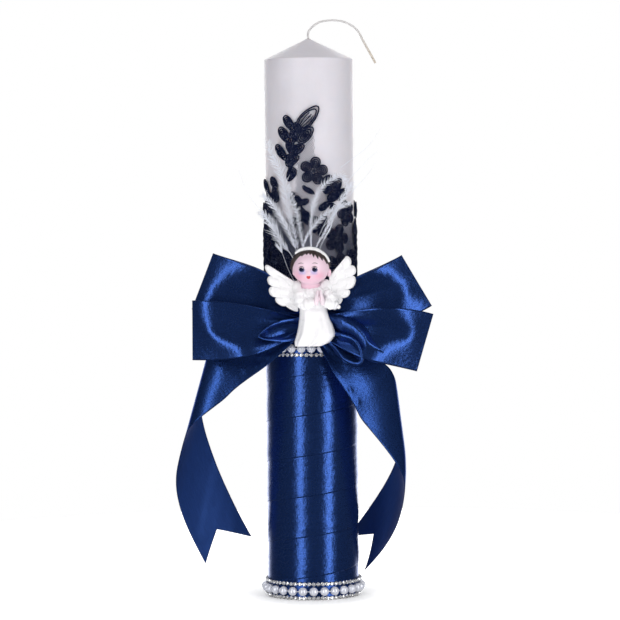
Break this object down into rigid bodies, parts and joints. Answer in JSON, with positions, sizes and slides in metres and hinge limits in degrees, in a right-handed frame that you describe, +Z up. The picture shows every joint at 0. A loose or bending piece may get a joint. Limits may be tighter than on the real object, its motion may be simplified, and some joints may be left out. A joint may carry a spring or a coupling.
{
  "type": "baptism candle",
  "caption": "Tall wax pillar candle dressed with wound satin ribbon, pearl trim, lace, a large bow, feathers and a small praying angel.",
  "frame": {"origin": "centre of the candle's flat underside", "axes": "+Z up along the candle, the bow and the angel face -Y, the free wick falls towards +X"},
  "size_m": [0.1743, 0.1098, 0.3927],
  "materials": {
    "wax": "smooth pale lavender-white paraffin wax, softly translucent",
    "wick": "braided cotton, waxed and orange-tinted towards the cut end",
    "satin": "navy blue polyester satin, glossy face and matt reverse",
    "pearl": "pearl lacquer on plastic half pearls",
    "rhinestone": "cut clear stones in a silver cup chain",
    "lace": "midnight blue corded guipure on fine net",
    "feather": "soft white down on thin quills",
    "resin": "glossy white painted resin",
    "skin": "satin flesh-pink paint on resin",
    "hair": "dark brown paint on resin"
  },
  "bodies": {
    "root": {"wax_pillar": "wax", "wick_core": "wick", "wick": "wick", "wrap_ribbon": "satin", "base_pearl_string": "pearl", "base_stone_chain_lower": "rhinestone", "base_stone_chain_upper": "rhinestone", "mid_pearl_string": "pearl", "mid_stone_chain_lower": "rhinestone", "mid_stone_chain_upper": "rhinestone", "lace_band": "lace", "lace_spray": "lace", "bow_knot": "satin", "bow_loop_upper_left": "satin", "bow_loop_lower_left": "satin", "bow_loop_upper_right": "satin", "bow_loop_lower_right": "satin", "bow_fold_left": "satin", "bow_fold_right": "satin", "bow_tail_left": "satin", "bow_tail_right": "satin", "angel_robe": "resin", "angel_wing_left": "resin", "angel_wing_right": "resin", "angel_head": "skin", "angel_hair": "hair", "angel_headband": "resin", "angel_hands": "skin", "feather_tall": "feather", "feather_barbed": "feather", "feather_left_curved": "feather", "feather_left_low": "feather", "feather_left_short": "feather", "feather_arched": "feather", "feather_right_low": "feather", "feather_right_tall": "feather", "feather_quill": "feather"}
  },
  "joints": []
}
